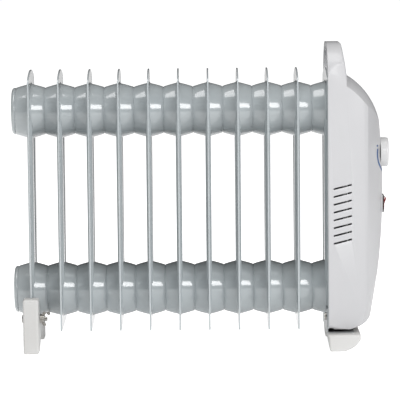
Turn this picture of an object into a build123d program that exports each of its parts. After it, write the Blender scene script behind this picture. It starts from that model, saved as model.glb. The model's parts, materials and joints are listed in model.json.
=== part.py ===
from build123d import *
import os
from math import cos, radians, sin, sqrt, tan

# Oil filled radiator heater, in millimetres. +X runs along the two oil headers to the control
# housing, +Y across the fins, +Z up. The origin is on the floor, under the middle of the heater.

os.makedirs("parts", exist_ok=True)

# ---------------------------------------------------------------- driving dimensions
fin_count = 11
fin_pitch = 35.0
fin_width = 110.0
fin_bottom = 25.0
fin_top = 331.0
fin_crown = 10.0
fin_corner = 4.0
sheet = 0.6

lower_axis = 69.0
upper_axis = 282.0
belly_radius = 32.5
neck_radius = 27.75
cup_swell = 0.3
cup_rim = 1.0

channel_offset = 20.0
channel_width = 25.0
channel_depth = 2.6
channel_slope = 40.0

cap_dome = 5.0
cap_corner = 4.2
cap_sheet = 1.2

oil_gap = 0.3
oil_level = 14.0

leg_radius = 4.0
leg_offset = 8.5
element_short = 12.0
leg_setback = 4.0
bead_length = 5.0
pin_radius = 1.6
pin_reach = 37.0

blank_thick = 3.0
collar_radius = 17.0
collar_bore = 14.2
collar_reach = 31.0
stud_radius = 4.0
stud_reach = 34.0
stud_chamfer = 0.8
stud_nut_flats = 13.0
stud_nut_thick = 6.0
collar_nut_wall = 5.0
collar_nut_thick = 5.0
plug_radius = 3.0
plug_head = (4.8, 0.9)
plug_rise = 16.0

housing_lap = 4.0
housing_wall = 2.5
housing_bottom = 24.0
handle_rise = 30.0
housing_top_corner = 42.0
housing_bottom_corner = 10.0
side_draft = 16.0
crown_radius = 120.0
front_depth = 66.9
front_mid = 187.0
front_radius = 850.0
deck_drop = 8.0
brow_drop = 55.0
brow_bulge = (48.5, 23.0)
chin = 90.0
chin_depth = 50.5
chin_round = 16.0
nose_round = 38.0
nose_slope = 30.0
shoulder_round = 12.0
back_reach = 10.0

handle_depth = 17.0
handle_foot_depth = 22.4
handle_thick = 10.0
handle_round = 3.0
grip_width = 76.0
grip_drop = 5.0
grip_round = 8.0
handle_wall = 3.0
handle_back_thick = 2.5

vent_count = 8
vent_length = 22.4
vent_slot = 2.1
vent_pitch = 9.2
vent_tilt = 12.0
vent_depth = 17.0
vent_height = 161.0

plate_depth = 22.0
plate_thick = 1.0
plate_gap = 1.0
plate_shoulder = 45.0
plate_flange = 14.0
rib_depth = 7.0
rib_thick = 1.5

dial_height = 229.5
thermostat_size = (30.0, 24.0, 18.0)
thermostat_setback = 7.0
thermostat_round = 2.0
thermostat_nut_flats = 14.0
thermostat_nut_thick = 1.8
blade_size = (15.0, 7.0)
blade_place = 8.5
blade_post = (1.5, 3.0)
knob_radius = 17.25
knob_face = 74.0
knob_base = 64.6
knob_wall = 2.0
knob_round = 2.2
dial_gap = 0.8
dial_floor = 1.8
pointer = (8.6, 1.8)
pointer_turn = 90
pointer_place = 10.4
hub_radius = 5.5
spindle_radius = 3.0
spindle_flat = 2.25
spindle_seat = 8.0
bush_radius = 5.0
bush_reach = 1.7
scale_gap = 5.15
scale_width = 2.4
scale_rise = 5.5
scale_dot = (9.0, 1.3)
print_thick = 0.15

switch_height = 168.4
bezel = (21.0, 15.0)
bezel_thick = 1.6
switch_body = (19.2, 12.7)
switch_depth = 17.0
rocker_radius = 8.0
rocker_width = 10.2
rocker_rise = 3.6
rocker_dip = 1.2
rocker_tilt = 11.0
rocker_pin = 1.2
rocker_pin_length = 1.0
rocker_hollow = (4.0, 11.2)
lamp = (1.5, 6.0)
lamp_round = 0.7

small_height = 112.0
cutout_y = 22.0
cutout_radius = 8.0
cutout_thick = 8.0
strap = 1.0
strap_ear = 5.0
strap_width = 7.0
block_low = 140.0
block_size = (14.0, 30.0, 16.0)
block_pitch = 8.0
block_round = 1.0
block_live = 3.0
block_feed = 9.0
terminal_radius = 2.0
terminal_well = 4.0
terminal_screw_length = 2.5
earth_offset = 22.0
lug_radius = 5.0
lug_barrel = 6.0
lug_neck = 3.5
earth_head = 2.0

tab = (0.8, 4.8)
tab_reach = 8.0
switch_tab_pitch = 6.0
wire_radius = 1.1
wire_bend = 3.0
wire_entry = 5.0
wire_turn = 8.0

foot_width = 136.0
foot_thick = 18.4
foot_height = 65.0
foot_arch = 16.0
foot_bar = 33.0
foot_waist = 33.0
foot_shelf = 46.0
foot_pad = 48.0
foot_round = 4.0
foot_edge = 2.5
foot_rake = 2.0
bolt_head = 2.5
bolt_radius = 2.5
bolt_offset = 43.0
bolt_height = 39.0
bolt_spare = 9.0
wing_hub = 5.0
wing_taper = 8.0
wing_root = 1.0
wing_elbow = 4.0
wing_span = 8.5
wing_reach = 9.0
wing_thick = 1.8
wing_round = 1.6

front_foot_length = 38.0
front_foot_height = 20.0
front_foot_sole = 15.0
front_foot_toe = 14.0
front_foot_belly = (29.5, 4.7)
front_foot_arch = 9.6
bracket_thick = 1.5
bracket_width = 104.0
bracket_top = 49.0
bracket_leg = 32.0
foot_screw_depth = 6.0
foot_screw_head = 1.4
foot_bolt_spare = 6.0
foot_bolt_head = 4.5
foot_nut_flats = 8.0
foot_nut_thick = 4.0

inlet_height = 62.0
inlet_depth = 33.0
inlet_bore = 3.6
inlet_neck = 6.0
inlet_flange = 8.0
inlet_lip = 1.6

screw_radius = 1.75
screw_head = 3.4
screw_sink = 1.7
screw_length = 9.0
screw_offset = 30.0
screw_depth = 32.0
boss_rise = 2.0
pocket_gap = 1.0
pocket_depth = 6.0

fit = 0.1
clearance = 0.3

# ---------------------------------------------------------------- places that follow from them
half_pitch = fin_pitch / 2
span = fin_pitch * (fin_count - 1)
end_reach = half_pitch + cap_dome
length = end_reach + span + knob_face
x_first = end_reach - length / 2
x_last = x_first + span
fin_places = [x_first + fin_pitch * i for i in range(fin_count)]
rim = x_last
neck_face = x_last + half_pitch
plate_x = rim + plate_depth
crown_axis = rim + front_depth - crown_radius
housing_width = fin_width + 2 * housing_lap
housing_top = fin_top + handle_rise
deck = fin_top - deck_drop
brow = deck - brow_drop
grip_floor = fin_top - grip_drop
scale_radius = knob_radius + scale_gap
draft = tan(radians(side_draft))
slope = cos(radians(side_draft))
weld_plate = 2 * sheet
bracket_screw_x = x_last + bracket_leg / 2
headers = (lower_axis, upper_axis)


def front_at(z):
    """X of the housing's front face, on its middle line, at height z."""
    return rim + front_depth - (z - front_mid) ** 2 / (2 * front_radius)


def save(piece, label):
    """Label one finished piece and write it as its own STEP file."""
    piece.label = label
    export_step(piece, f"parts/{label}.step")


def cross_plane(x):
    """Plane across the headers at x, with local x along +Y and local y along +Z."""
    return Plane.YZ.offset(x)


def header_plane(z):
    """Plane along a header, with local x along +X and local y along +Z from its axis."""
    return Plane(origin=(0, 0, z), x_dir=(1, 0, 0), z_dir=(0, -1, 0))


def header_axis(z):
    """Axis of the header at height z."""
    return Axis((0, 0, z), (1, 0, 0))


# ---------------------------------------------------------------- radiator: the welded fins
def cup_face(inset):
    """Half section of the two header cups of one fin, inset by the sheet's thickness."""
    belly = belly_radius - inset
    neck = neck_radius - inset
    middle = (belly + neck) / 2 + cup_swell
    with BuildSketch() as section:
        with BuildLine():
            Line((-half_pitch, 0), (-half_pitch, neck))
            ThreePointArc((-half_pitch, neck), (-half_pitch / 2, middle), (0, belly))
            ThreePointArc((0, belly), (half_pitch / 2, middle), (half_pitch, neck))
            Line((half_pitch, neck), (half_pitch, 0))
            Line((half_pitch, 0), (-half_pitch, 0))
        make_face()
    return section.sketch


def fin_face(grow):
    """Outline of a fin: flat foot, upright sides and a shallow arched top, grown all round."""
    half = fin_width / 2 + grow
    shoulder = fin_top - fin_crown + grow
    foot = fin_bottom - grow
    with BuildSketch() as outline:
        with BuildLine():
            Polyline((half, shoulder), (half, foot), (-half, foot), (-half, shoulder))
            ThreePointArc((-half, shoulder), (0, fin_top + grow), (half, shoulder))
        make_face()
        fillet(outline.vertices(), fin_corner)
    return outline.sketch


def channel_face(inset):
    """The two oil channels of a fin, seen along the headers."""
    with BuildSketch() as pair:
        with Locations((0, (lower_axis + upper_axis) / 2)):
            with GridLocations(2 * channel_offset, 0, 2, 1):
                RectangleRounded(channel_width - 2 * inset, upper_axis - lower_axis, channel_width / 4)
    return pair.sketch


with BuildPart() as fin:
    with BuildSketch(Plane.YZ):
        add(fin_face(0))
    extrude(amount=sheet, both=True)
    for face in (1, -1):
        with BuildSketch(Plane(origin=(0, 0, 0), x_dir=(0, face, 0), z_dir=(face, 0, 0))):
            add(channel_face(0))
        extrude(amount=channel_depth + sheet, taper=channel_slope)
    for z in headers:
        with BuildSketch(header_plane(z)):
            add(cup_face(0))
        revolve(axis=header_axis(z))
    for face in (1, -1):
        with BuildSketch(Plane(origin=(0, 0, 0), x_dir=(0, face, 0), z_dir=(face, 0, 0))):
            add(channel_face(sheet))
        extrude(amount=channel_depth, taper=channel_slope, mode=Mode.SUBTRACT)
    for z in headers:
        with BuildSketch(header_plane(z)):
            add(cup_face(sheet))
        revolve(axis=header_axis(z), mode=Mode.SUBTRACT)


def fin_share(inside):
    """The cups of a fin if inside is true, or else its web with the channels, parted at the cups' rims."""
    with BuildPart() as share:
        add(fin.part)
        with BuildSketch(cross_plane(-half_pitch)):
            with Locations((0, lower_axis), (0, upper_axis)):
                Circle(belly_radius + cup_rim)
        extrude(amount=fin_pitch, mode=Mode.INTERSECT if inside else Mode.SUBTRACT)
    return share.part


cups = fin_share(True)
web = fin_share(False)
with BuildPart() as drilled_web:
    add(web)
    with BuildSketch(Plane.YZ):
        with Locations((-bolt_offset, bolt_height), (bolt_offset, bolt_height)):
            Circle(bolt_radius + fit)
    extrude(amount=fin_pitch / 4, both=True, mode=Mode.SUBTRACT)

for number, x in enumerate(fin_places, 1):
    sheets = drilled_web.part if number in (1, fin_count) else web
    placed = [solid.moved(Location((x, 0, 0))) for solid in sheets.solids() + cups.solids()]
    save(Compound(placed), f"fin_{number:02d}")


# ---------------------------------------------------------------- radiator: closed ends
def dish_face(inset):
    """Half section of a dished end cap, inset by its sheet's thickness."""
    radius = neck_radius - inset
    face = x_first - end_reach + inset
    with BuildSketch() as dish:
        with BuildLine():
            Polyline(
                (x_first - half_pitch, 0),
                (x_first - half_pitch, radius),
                (face, radius - cap_corner / 2),
                (face, 0),
                (x_first - half_pitch, 0),
            )
        make_face()
        fillet(dish.vertices().sort_by_distance((face, radius))[0], cap_corner - inset)
    return dish.sketch


def end_cap(z):
    """Dished cap welded on the far neck of a header."""
    with BuildPart() as cap:
        with BuildSketch(header_plane(z)):
            add(dish_face(0))
        revolve(axis=header_axis(z))
        with BuildSketch(header_plane(z)):
            add(dish_face(cap_sheet))
        revolve(axis=header_axis(z), mode=Mode.SUBTRACT)
    return cap.part


save(end_cap(upper_axis), "upper_end_cap")
save(end_cap(lower_axis), "lower_end_cap")

with BuildPart() as upper_end_blank:
    with BuildSketch(cross_plane(neck_face)):
        with Locations((0, upper_axis)):
            Circle(neck_radius)
        with Locations((0, upper_axis + plug_rise)):
            Circle(plug_radius + fit, mode=Mode.SUBTRACT)
    extrude(amount=blank_thick)
    with BuildSketch(cross_plane(neck_face + blank_thick)):
        with Locations((0, upper_axis)):
            Circle(stud_radius)
    extrude(amount=stud_reach - half_pitch - blank_thick)
    stud_end = upper_end_blank.edges().sort_by(Axis.X)[-1]
    chamfer(stud_end, stud_chamfer)
save(upper_end_blank.part, "upper_end_blank")

with BuildPart() as filler_plug:
    with BuildSketch(cross_plane(neck_face)):
        with Locations((0, upper_axis + plug_rise)):
            Circle(plug_radius)
    extrude(amount=blank_thick)
    with BuildSketch(cross_plane(neck_face + blank_thick)):
        with Locations((0, upper_axis + plug_rise)):
            Circle(plug_head[0])
    extrude(amount=plug_head[1])
save(filler_plug.part, "filler_plug")

with BuildPart() as element_flange:
    with BuildSketch(cross_plane(neck_face)):
        with Locations((0, lower_axis)):
            Circle(neck_radius)
            with GridLocations(2 * leg_offset, 0, 2, 1):
                Circle(leg_radius + fit, mode=Mode.SUBTRACT)
    extrude(amount=blank_thick)
    with BuildSketch(cross_plane(neck_face + blank_thick)):
        with Locations((0, lower_axis)):
            Circle(collar_radius)
            Circle(collar_bore, mode=Mode.SUBTRACT)
    extrude(amount=collar_reach - half_pitch - blank_thick)
save(element_flange.part, "element_flange")


# ---------------------------------------------------------------- radiator: element and oil
leg_end = x_last + collar_reach - leg_setback
bend_start = x_first + element_short


def element_rod(radius):
    """Hairpin rod along the lower header, from the flange to its far bend and back."""
    with BuildPart() as rod:
        with BuildLine(Plane.XY.offset(lower_axis)) as path:
            Line((leg_end, leg_offset), (bend_start, leg_offset))
            ThreePointArc((bend_start, leg_offset), (bend_start - leg_offset, 0), (bend_start, -leg_offset))
            Line((bend_start, -leg_offset), (leg_end, -leg_offset))
        with BuildSketch(Plane(origin=(leg_end, leg_offset, lower_axis), z_dir=(-1, 0, 0))):
            Circle(radius)
        sweep(path=path.line)
    return rod.part


save(element_rod(leg_radius), "heating_element")

with BuildPart() as element_beads:
    with BuildSketch(cross_plane(leg_end)):
        with Locations((0, lower_axis)):
            with GridLocations(2 * leg_offset, 0, 2, 1):
                Circle(leg_radius)
                Circle(pin_radius + fit, mode=Mode.SUBTRACT)
    extrude(amount=bead_length)
save(element_beads.part, "element_beads")

with BuildPart() as element_pins:
    with BuildSketch(cross_plane(leg_end)):
        with Locations((0, lower_axis)):
            with GridLocations(2 * leg_offset, 0, 2, 1):
                Circle(pin_radius)
    extrude(amount=x_last + pin_reach - leg_end)
save(element_pins.part, "element_pins")


def oil_profile(x_start, x_end):
    """Half section of the oil in one header: a string of bellies with a neck between each two."""
    neck = neck_radius - sheet - oil_gap
    belly = belly_radius - sheet - oil_gap
    outline = [(x_start, 0), (x_start, neck)]
    for x in fin_places:
        outline += [(x, belly), (min(x + half_pitch, x_end), neck)]
    outline += [(x_end, 0), (x_start, 0)]
    with BuildSketch() as section:
        with BuildLine():
            Polyline(*outline)
        make_face()
    return section.sketch


oil_width = channel_width - 3 * channel_depth
with BuildPart() as thermal_oil:
    for z in headers:
        with BuildSketch(header_plane(z)):
            add(oil_profile(x_first - half_pitch + oil_gap, neck_face - oil_gap))
        revolve(axis=header_axis(z))
    for x in fin_places:
        with BuildSketch(cross_plane(x)):
            with Locations((0, (lower_axis + upper_axis) / 2)):
                with GridLocations(2 * channel_offset, 0, 2, 1):
                    RectangleRounded(oil_width, upper_axis - lower_axis, channel_width / 4)
        extrude(amount=channel_depth - oil_gap, both=True)
    add(element_rod(leg_radius + oil_gap), mode=Mode.SUBTRACT)
    split(bisect_by=Plane.XY.offset(upper_axis + oil_level), keep=Keep.BOTTOM)
save(thermal_oil.part, "thermal_oil")


# ---------------------------------------------------------------- housing shape
def side_profile(inset):
    """Side view of the housing below its handle: rear, underside, chin, front and brow."""
    with BuildSketch() as profile:
        with BuildLine():
            Polyline(
                (rim + handle_foot_depth, deck),
                (rim - back_reach, deck),
                (rim - back_reach, housing_bottom),
                (rim + chin_depth, housing_bottom),
                (front_at(chin), chin),
            )
            ThreePointArc((front_at(chin), chin), (rim + front_depth, front_mid), (front_at(brow), brow))
            ThreePointArc(
                (front_at(brow), brow),
                (rim + brow_bulge[0], deck - brow_bulge[1]),
                (rim + handle_foot_depth, deck),
            )
        make_face()
        fillet(profile.vertices().sort_by_distance((rim + chin_depth, housing_bottom))[0], chin_round)
        if inset:
            offset(amount=-inset, kind=Kind.INTERSECTION, mode=Mode.REPLACE)
    return profile.sketch


def end_outline(inset):
    """End view of the housing: a broad arch over straight sides and a rounded foot."""
    height = housing_top - housing_bottom - 2 * inset
    with BuildSketch() as outline:
        with Locations((0, (housing_top + housing_bottom) / 2)):
            Rectangle(housing_width - 2 * inset, height)
        fillet(outline.vertices().group_by(Axis.Y)[-1], housing_top_corner - inset)
        fillet(outline.vertices().group_by(Axis.Y)[0], housing_bottom_corner - inset)
    return outline.sketch


def plan_wedge(inset):
    """Plan of the housing: its drafted sides turn in to a rounded nose."""
    rear = housing_width / 2 - inset / slope
    lean = tan(radians(nose_slope))
    apex = front_depth - nose_round + (nose_round - inset) / cos(radians(nose_slope))
    turn = (apex - lean * rear) / (1 - lean * draft)
    side = rear - draft * turn
    with BuildSketch() as plan:
        with BuildLine():
            Polyline(
                (rim, rear),
                (rim, -rear),
                (rim + turn, -side),
                (rim + apex, 0),
                (rim + turn, side),
                (rim, rear),
            )
        make_face()
        fillet([v for v in plan.vertices() if abs(v.X - rim - turn) < fit], shoulder_round)
        fillet(plan.vertices().sort_by(Axis.X)[-1], nose_round - inset)
    return plan.sketch


def housing_body(inset):
    """Solid inside the housing's walls, or the whole housing when the inset is nought."""
    with BuildPart() as body:
        with BuildSketch(Plane.XZ):
            add(side_profile(inset))
        revolve(axis=Axis((crown_axis, 0, 0), (0, 0, 1)))
        with BuildSketch(cross_plane(rim)):
            add(end_outline(inset))
        extrude(amount=2 * front_depth, both=True, mode=Mode.INTERSECT)
        with BuildSketch(Plane.XY):
            add(plan_wedge(inset))
        extrude(amount=housing_top, both=True, mode=Mode.INTERSECT)
    return body.part


def handle_block():
    """Solid of the arched handle above the housing, before its finger gap is cut."""
    low = deck - handle_foot_depth
    with BuildPart() as block:
        with BuildSketch(Plane.XZ):
            with BuildLine():
                Polyline(
                    (rim, low),
                    (rim, housing_top),
                    (rim + handle_depth, housing_top),
                    (rim + handle_foot_depth, deck),
                    (rim + handle_foot_depth, low),
                    (rim, low),
                )
            make_face()
        extrude(amount=housing_width, both=True)
        with BuildSketch(cross_plane(rim)):
            add(end_outline(0))
        extrude(amount=2 * front_depth, both=True, mode=Mode.INTERSECT)
        with BuildSketch(Plane.XY):
            add(plan_wedge(0))
        extrude(amount=2 * housing_top, both=True, mode=Mode.INTERSECT)
        long_edges = [edge for edge in block.edges() if edge.length > handle_depth]
        upper_edges = [edge for edge in long_edges if edge.center().Z > deck]
        front_arch = [edge for edge in upper_edges if edge.center().X > rim + handle_depth / 2]
        fillet(front_arch, handle_round)
    return block.part


def grip_face(grow):
    """Finger gap under the handle, seen from the front."""
    gap_top = housing_top - handle_thick
    with BuildSketch() as gap:
        with Locations((0, (gap_top + grip_floor) / 2)):
            RectangleRounded(grip_width + 2 * grow, gap_top - grip_floor + 2 * grow, grip_round + grow)
    return gap.sketch


def handle_channel(inset, depth):
    """Block that fills the hollow in the back of the handle, to a given depth."""
    low = fin_top + handle_wall
    with BuildPart() as block:
        with BuildSketch(cross_plane(rim)):
            add(end_outline(handle_wall + inset))
            add(grip_face(handle_wall + inset), mode=Mode.SUBTRACT)
            with Locations((0, low / 2 + inset / 2)):
                Rectangle(2 * housing_width, low + inset, mode=Mode.SUBTRACT)
        extrude(amount=depth)
        with BuildSketch(Plane.XY):
            add(plan_wedge(handle_wall + inset))
        extrude(amount=2 * housing_top, both=True, mode=Mode.INTERSECT)
    return block.part


def countersunk(grow):
    """Outline of one countersunk cover screw, head down, for the screw itself and for its seat."""
    with BuildSketch() as section:
        with BuildLine():
            Polyline(
                (0, 0),
                (screw_head + grow, 0),
                (screw_radius + grow, screw_sink),
                (screw_radius + grow, screw_length),
                (0, screw_length),
                (0, 0),
            )
        make_face()
    return section.sketch


def cover_screw_set(grow):
    """The two screws that hold the housing to the back plate from below."""
    with BuildPart() as screws:
        for y in (-screw_offset, screw_offset):
            seat = Plane(origin=(rim + screw_depth, y, housing_bottom), x_dir=(1, 0, 0), z_dir=(0, -1, 0))
            with BuildSketch(seat):
                add(countersunk(grow))
            revolve(axis=Axis((rim + screw_depth, y, 0), (0, 0, 1)))
    return screws.part


inlet_y = housing_width / 2 - draft * inlet_depth
inlet_normal = (sin(radians(side_draft)), slope, 0)
inlet_plane = Plane(
    origin=(rim + inlet_depth, inlet_y, inlet_height),
    x_dir=(slope, -sin(radians(side_draft)), 0),
    z_dir=inlet_normal,
)

# ---------------------------------------------------------------- housing: cover
seat_x = rim + knob_base - clearance
with BuildPart() as cavity:
    add(housing_body(housing_wall))
    # the wall stays thick behind the knob's seat
    with BuildSketch(cross_plane(seat_x - dial_floor)):
        with Locations((0, dial_height)):
            Circle(knob_radius + dial_gap)
    extrude(amount=front_depth, mode=Mode.SUBTRACT)

with BuildPart() as control_cover:
    add(housing_body(0))
    add(handle_block())
    # flat seat that the rocker switch needs on the rounded nose
    with BuildSketch(cross_plane(rim + front_depth / 2)):
        with Locations((0, switch_height)):
            RectangleRounded(bezel[1] + 2 * clearance, bezel[0] + 2 * clearance, bezel_thick)
    extrude(amount=front_depth / 2)
    with BuildSketch(cross_plane(rim)):
        add(grip_face(0))
    extrude(amount=2 * front_depth, both=True, mode=Mode.SUBTRACT)
    add(cavity.part, mode=Mode.SUBTRACT)
    # pocket around the last fin, open below for the foot bracket
    with BuildSketch(cross_plane(rim - pocket_gap)):
        add(fin_face(pocket_gap))
        with Locations((0, fin_bottom)):
            Rectangle(bracket_width + 2 * pocket_gap, 2 * housing_wall + 2 * pocket_gap)
    extrude(amount=pocket_depth + pocket_gap, mode=Mode.SUBTRACT)
    add(handle_channel(0, handle_depth - handle_wall), mode=Mode.SUBTRACT)
    # ribs that take the upper edge of the back plate, and bosses under its flange
    for gap_side in (-1, 1):
        rib_x = plate_x + plate_thick / 2 + gap_side * (plate_thick / 2 + clearance + rib_thick / 2)
        with BuildSketch(Plane.XY.offset(deck - housing_wall - pocket_gap)):
            with Locations((rib_x, 0)):
                Rectangle(rib_thick, fin_width / 2)
        extrude(amount=-rib_depth)
    with BuildSketch(Plane.XY.offset(housing_bottom + housing_wall / 2)):
        with Locations((rim + screw_depth, -screw_offset), (rim + screw_depth, screw_offset)):
            Circle(2 * screw_head)
    extrude(amount=housing_wall / 2 + boss_rise)
    add(cover_screw_set(fit), mode=Mode.SUBTRACT)
    with BuildSketch(Plane.XZ):
        with Locations((rim + vent_depth, vent_height)):
            with GridLocations(0, vent_pitch, 1, vent_count):
                SlotOverall(vent_length, vent_slot, rotation=vent_tilt)
    extrude(amount=housing_width, both=True, mode=Mode.SUBTRACT)
    with BuildSketch(cross_plane(rim + front_depth / 2)):
        with Locations((0, dial_height)):
            Circle(bush_radius + fit)
        with Locations((0, switch_height)):
            Rectangle(switch_body[1] + 2 * fit, switch_body[0] + 2 * fit)
    extrude(amount=front_depth, mode=Mode.SUBTRACT)
    # round seat that the knob turns in
    with BuildSketch(cross_plane(seat_x)):
        with Locations((0, dial_height)):
            Circle(knob_radius + dial_gap)
    extrude(amount=front_depth, mode=Mode.SUBTRACT)
    with BuildSketch(inlet_plane):
        Circle(inlet_neck + fit)
    extrude(amount=2 * housing_wall, both=True, mode=Mode.SUBTRACT)
save(control_cover.part, "control_cover")

save(handle_channel(fit, handle_back_thick), "handle_back")

with BuildPart() as cord_bush:
    with BuildSketch(inlet_plane):
        Circle(inlet_flange)
    extrude(amount=inlet_lip)
    with BuildSketch(inlet_plane):
        Circle(inlet_neck)
    extrude(amount=-(housing_wall + fit))
    with BuildSketch(inlet_plane.offset(-(housing_wall + fit))):
        Circle((inlet_neck + inlet_flange) / 2)
    extrude(amount=-inlet_lip)
    with BuildSketch(inlet_plane.offset(inlet_lip)):
        Circle(inlet_bore)
    extrude(amount=-(2 * inlet_lip + housing_wall + fit), mode=Mode.SUBTRACT)
save(cord_bush.part, "cord_bush")

# ---------------------------------------------------------------- housing: back plate
plate_low = housing_bottom + housing_wall + boss_rise
plate_high = deck - housing_wall - 2 * pocket_gap - rib_depth / 2
plate_half = housing_width / 2 - housing_wall / slope - draft * (plate_depth + plate_thick) - plate_gap
flange_half = plate_half - draft * plate_flange - clearance
with BuildPart() as back_plate:
    with BuildSketch(cross_plane(plate_x)) as blank:
        with Locations((0, (plate_low + plate_high) / 2)):
            Rectangle(2 * plate_half, plate_high - plate_low)
        fillet(blank.vertices().group_by(Axis.Y)[0], housing_bottom_corner)
        fillet(blank.vertices().group_by(Axis.Y)[-1], plate_shoulder)
        with Locations((0, lower_axis)):
            Circle(collar_radius + fit, mode=Mode.SUBTRACT)
        with Locations((0, upper_axis)):
            Circle(stud_radius + fit, mode=Mode.SUBTRACT)
        with Locations((-earth_offset, small_height)):
            Circle(screw_radius + fit, mode=Mode.SUBTRACT)
    extrude(amount=plate_thick)
    with BuildSketch(Plane.XY.offset(plate_low)):
        with Locations((plate_x + plate_flange / 2, 0)):
            Rectangle(plate_flange, 2 * (flange_half - housing_bottom_corner))
    extrude(amount=plate_thick)
    add(cover_screw_set(fit), mode=Mode.SUBTRACT)
save(back_plate.part, "back_plate")

save(cover_screw_set(0), "cover_screws")

plate_front = plate_x + plate_thick
with BuildPart() as header_gaskets:
    with BuildSketch(cross_plane(neck_face + blank_thick)):
        with Locations((0, lower_axis)):
            Circle(neck_radius - oil_gap)
            Circle(collar_radius + fit, mode=Mode.SUBTRACT)
        with Locations((0, upper_axis)):
            Circle(2 * stud_radius)
            Circle(stud_radius + fit, mode=Mode.SUBTRACT)
    extrude(amount=plate_x - neck_face - blank_thick)
save(header_gaskets.part, "header_gaskets")

with BuildPart() as stud_nut:
    with BuildSketch(cross_plane(plate_front)):
        with Locations((0, upper_axis)):
            RegularPolygon(stud_nut_flats / 2, 6, major_radius=False)
            Circle(stud_radius + fit / 2, mode=Mode.SUBTRACT)
    extrude(amount=stud_nut_thick)
save(stud_nut.part, "stud_nut")

with BuildPart() as collar_nut:
    with BuildSketch(cross_plane(plate_front)):
        with Locations((0, lower_axis)):
            RegularPolygon(collar_radius + collar_nut_wall, 6, major_radius=False)
            Circle(collar_radius + fit / 2, mode=Mode.SUBTRACT)
    extrude(amount=collar_nut_thick)
save(collar_nut.part, "collar_nut")

# ---------------------------------------------------------------- controls: thermostat and knob
thermostat_face = rim + front_depth - thermostat_setback
thermostat_rear = thermostat_face - thermostat_size[2]
bush_end = rim + knob_base + bush_reach
hub_base = bush_end + clearance
knob_inner = rim + knob_face - knob_wall
spindle_rear = thermostat_rear + spindle_seat


def d_face(radius):
    """Round shaft section with one flat, for the knob's hub and its spindle."""
    with BuildSketch() as section:
        Circle(radius)
        with Locations((0, spindle_flat + radius)):
            Rectangle(2 * radius, 2 * radius, mode=Mode.SUBTRACT)
    return section.sketch


with BuildPart() as thermostat_body:
    with BuildSketch(cross_plane(thermostat_rear)):
        with Locations((0, dial_height)):
            RectangleRounded(thermostat_size[0], thermostat_size[1], thermostat_round)
    extrude(amount=thermostat_face - thermostat_rear)
    with BuildSketch(cross_plane(thermostat_face)):
        with Locations((0, dial_height)):
            Circle(bush_radius)
    extrude(amount=bush_end - thermostat_face)
    with BuildSketch(cross_plane(spindle_rear)):
        with Locations((0, dial_height)):
            Circle(spindle_radius + fit / 2)
    extrude(amount=bush_end - spindle_rear, mode=Mode.SUBTRACT)
save(thermostat_body.part, "thermostat_body")

with BuildPart() as bimetal_blade:
    with BuildSketch(Plane.XY.offset(dial_height - thermostat_size[1] / 2)):
        with Locations((thermostat_rear + 2 * blade_post[0], 0)):
            Circle(blade_post[0])
    extrude(amount=-blade_post[1])
    with BuildSketch(Plane.XY.offset(dial_height - thermostat_size[1] / 2 - blade_post[1])):
        with Locations((thermostat_rear + blade_place, 0)):
            RectangleRounded(blade_size[0], blade_size[1], blade_post[0])
    extrude(amount=-sheet)
save(bimetal_blade.part, "bimetal_blade")

with BuildPart() as thermostat_nut:
    with BuildSketch(cross_plane(seat_x + fit)):
        with Locations((0, dial_height)):
            RegularPolygon(thermostat_nut_flats / 2, 6, major_radius=False)
            Circle(bush_radius + fit / 2, mode=Mode.SUBTRACT)
    extrude(amount=thermostat_nut_thick)
save(thermostat_nut.part, "thermostat_nut")

with BuildPart() as thermostat_spindle:
    with BuildSketch(cross_plane(spindle_rear + clearance)):
        with Locations((0, dial_height)):
            Circle(spindle_radius)
    extrude(amount=hub_base - spindle_rear - clearance)
    with BuildSketch(cross_plane(hub_base)):
        with Locations((0, dial_height)):
            add(d_face(spindle_radius))
    extrude(amount=knob_inner - fit - hub_base)
save(thermostat_spindle.part, "thermostat_spindle")

with BuildPart() as temperature_knob:
    with BuildSketch(cross_plane(rim + knob_base)):
        with Locations((0, dial_height)):
            Circle(knob_radius)
    extrude(amount=knob_face - knob_base)
    fillet(temperature_knob.edges().group_by(Axis.X)[-1], knob_round)
    with BuildSketch(cross_plane(rim + knob_base)):
        with Locations((0, dial_height)):
            Circle(knob_radius - knob_wall)
    extrude(amount=knob_inner - rim - knob_base, mode=Mode.SUBTRACT)
    with BuildSketch(cross_plane(hub_base)):
        with Locations((0, dial_height)):
            Circle(hub_radius)
    extrude(amount=knob_inner - hub_base)
    with BuildSketch(cross_plane(hub_base)):
        with Locations((0, dial_height)):
            add(d_face(spindle_radius + fit / 2))
    extrude(amount=knob_inner - hub_base, mode=Mode.SUBTRACT)
    with BuildSketch(cross_plane(rim + knob_face)):
        with Locations((0, dial_height + pointer_place)):
            SlotOverall(*pointer, rotation=pointer_turn)
    extrude(amount=-knob_wall / 3, mode=Mode.SUBTRACT)
save(temperature_knob.part, "temperature_knob")

with BuildPart() as temperature_scale:
    with BuildSketch(cross_plane(rim + front_depth / 2)):
        with Locations((0, dial_height)):
            Circle(scale_radius + scale_width / 2)
            Circle(scale_radius - scale_width / 2, mode=Mode.SUBTRACT)
        with Locations((0, dial_height + scale_rise + scale_radius)):
            Rectangle(4 * scale_radius, 2 * scale_radius, mode=Mode.SUBTRACT)
        with Locations((-scale_radius, dial_height + scale_dot[0])):
            Circle(scale_dot[1])
    extrude(amount=front_depth)
    add(housing_body(-print_thick), mode=Mode.INTERSECT)
    add(housing_body(0), mode=Mode.SUBTRACT)
save(temperature_scale.part, "temperature_scale")

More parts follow.
